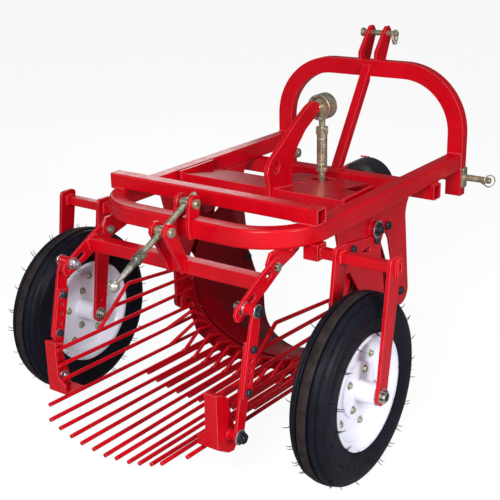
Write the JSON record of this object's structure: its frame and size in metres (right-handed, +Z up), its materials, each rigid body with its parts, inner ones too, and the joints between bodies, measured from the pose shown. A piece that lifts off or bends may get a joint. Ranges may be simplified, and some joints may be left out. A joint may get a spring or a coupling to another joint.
{
  "type": "potato digger",
  "caption": "Single-row mounted potato digger: bent tube frame with hitch arch, fixed trough share, crank-shaken rod riddle on hangers, screw depth setting and two fork-mounted wheels.",
  "frame": {"origin": "ground level under the middle of the part's length, on the frame's mid plane; the wheels' axle is 312.4 mm behind it", "axes": "+Y forward to the tractor, +X to the machine's right, +Z up"},
  "size_m": [1.232, 1.5172, 1.097],
  "materials": {
    "red_paint": "glossy red powder coat",
    "zinc_yellow": "yellow passivated zinc plate",
    "dark_bolt": "blackened steel with bright zinc washers",
    "bright_steel": "machined steel",
    "plain_steel": "plain rolled steel, lightly oiled",
    "black_guard": "black moulded guard",
    "black_rubber": "black tyre rubber",
    "white_rim": "white painted pressed steel"
  },
  "bodies": {
    "frame": {"axles": "dark_bolt", "frame_bolts": "dark_bolt", "front_cross_tube": "red_paint", "hitch_arch": "red_paint", "hitch_brace": "red_paint", "linch_pin_top": "zinc_yellow", "lower_link_pins": "zinc_yellow", "main_frame": "red_paint", "pto_bearings": "bright_steel", "pto_guard": "black_guard", "pto_housing": "red_paint", "rear_cross_tube": "red_paint", "rocker_brackets": "red_paint", "share": "red_paint", "share_spacers": "red_paint", "side_doublers": "red_paint", "side_plates": "red_paint", "top_link_pin": "zinc_yellow", "top_link_plates": "red_paint", "upper_clevis": "red_paint", "wheel_forks": "red_paint"},
    "wheel_left": {"tyre_left": "black_rubber", "rim_left": "white_rim"},
    "wheel_right": {"tyre_right": "black_rubber", "rim_right": "white_rim"},
    "pto_rotor": {"pto_shaft": "bright_steel", "crank_disc": "bright_steel"},
    "cradle": {"shaker_sides": "red_paint", "shaker_deck": "red_paint", "shaker_lever": "red_paint", "lever_drum": "zinc_yellow", "rock_shaft": "dark_bolt"},
    "drive_rod": {"rod_top_end": "zinc_yellow", "rod_sleeve": "zinc_yellow", "rod_bottom_end": "zinc_yellow"},
    "front_riddle_pins": {"riddle_pins": "dark_bolt"},
    "riddle": {"riddle_rods": "red_paint", "riddle_arc": "red_paint", "riddle_lugs": "red_paint", "riddle_brackets": "red_paint", "riddle_rear_bolts": "dark_bolt"},
    "rocker": {"rocker_frame": "red_paint", "lower_clevis": "red_paint"},
    "hanger_pivots": {"hanger_top_bolts": "dark_bolt"},
    "hangers": {"hanger_upper_bars": "red_paint", "hanger_lower_bars": "red_paint", "hanger_bolts": "dark_bolt"},
    "screw_block": {"lower_trunnion": "zinc_yellow"},
    "screw": {"depth_screw": "plain_steel"},
    "screw_nut": {"upper_trunnion": "zinc_yellow"},
    "linch_right": {"linch_pin_right": "zinc_yellow"},
    "linch_left": {"linch_pin_left": "zinc_yellow"}
  },
  "joints": [
    {"name": "wheel_left_spin", "type": "hinge", "parent": "frame", "child": "wheel_left", "pos_m": [-0.516, -0.3124, 0.27], "axis": [1, 0, 0], "continuous": true},
    {"name": "wheel_right_spin", "type": "hinge", "parent": "frame", "child": "wheel_right", "pos_m": [0.516, -0.3124, 0.27], "axis": [1, 0, 0], "continuous": true},
    {"name": "pto_spin", "type": "hinge", "parent": "frame", "child": "pto_rotor", "pos_m": [0.05, 0.3876, 0.558], "axis": [0, 1, 0], "continuous": true},
    {"name": "cradle_rock", "type": "hinge", "parent": "frame", "child": "cradle", "pos_m": [0, 0.1156, 0.573], "axis": [1, 0, 0], "range_deg": [-2.2, 2.2]},
    {"name": "rod_swing", "type": "hinge", "parent": "cradle", "child": "drive_rod", "pos_m": [0.05, 0.2726, 0.893], "axis": [0, 1, 0], "range_deg": [-1, 1]},
    {"name": "riddle_pin_turn", "type": "hinge", "parent": "cradle", "child": "front_riddle_pins", "pos_m": [0, -0.0424, 0.255], "axis": [1, 0, 0], "range_deg": [-3, 3]},
    {"name": "riddle_tilt", "type": "hinge", "parent": "front_riddle_pins", "child": "riddle", "pos_m": [0, -0.0424, 0.255], "axis": [1, 0, 0], "range_deg": [-2.2, 2.2]},
    {"name": "depth_rock", "type": "hinge", "parent": "frame", "child": "rocker", "pos_m": [0, -0.3804, 0.601], "axis": [1, 0, 0], "range_deg": [-8, 8]},
    {"name": "hanger_shake", "type": "hinge", "parent": "rocker", "child": "hanger_pivots", "pos_m": [0, -0.5269, 0.53423], "axis": [1, 0, 0], "range_deg": [-2.6, 2.6]},
    {"name": "hanger_turn", "type": "hinge", "parent": "hanger_pivots", "child": "hangers", "pos_m": [0, -0.5269, 0.53423], "axis": [1, 0, 0], "range_deg": [-10, 10]},
    {"name": "screw_block_turn", "type": "hinge", "parent": "rocker", "child": "screw_block", "pos_m": [0.032, -0.5124, 0.689], "axis": [1, 0, 0], "range_deg": [-3, 3]},
    {"name": "screw_turn", "type": "hinge", "parent": "screw_block", "child": "screw", "pos_m": [0.032, -0.5124, 0.689], "axis": [0, 0.9041, 0.4274], "continuous": true},
    {"name": "screw_nut_turn", "type": "hinge", "parent": "frame", "child": "screw_nut", "pos_m": [0.032, -0.4024, 0.741], "axis": [1, 0, 0], "range_deg": [-6, 6]},
    {"name": "linch_right_pull", "type": "slide", "parent": "frame", "child": "linch_right", "axis": [0, -1, 0], "range_m": [0, 0.09]},
    {"name": "linch_left_pull", "type": "slide", "parent": "frame", "child": "linch_left", "axis": [0, -1, 0], "range_m": [0, 0.09]}
  ],
  "couplings": [
    {"joint": "riddle_pin_turn", "follows": "cradle_rock", "ratio": -1.1511},
    {"joint": "hanger_shake", "follows": "cradle_rock", "ratio": 0.9432},
    {"joint": "riddle_tilt", "follows": "depth_rock", "ratio": 0.2377},
    {"joint": "hanger_turn", "follows": "depth_rock", "ratio": -1.1668},
    {"joint": "screw_block_turn", "follows": "depth_rock", "ratio": -0.3286},
    {"joint": "screw_nut_turn", "follows": "depth_rock", "ratio": 0.6714}
  ]
}
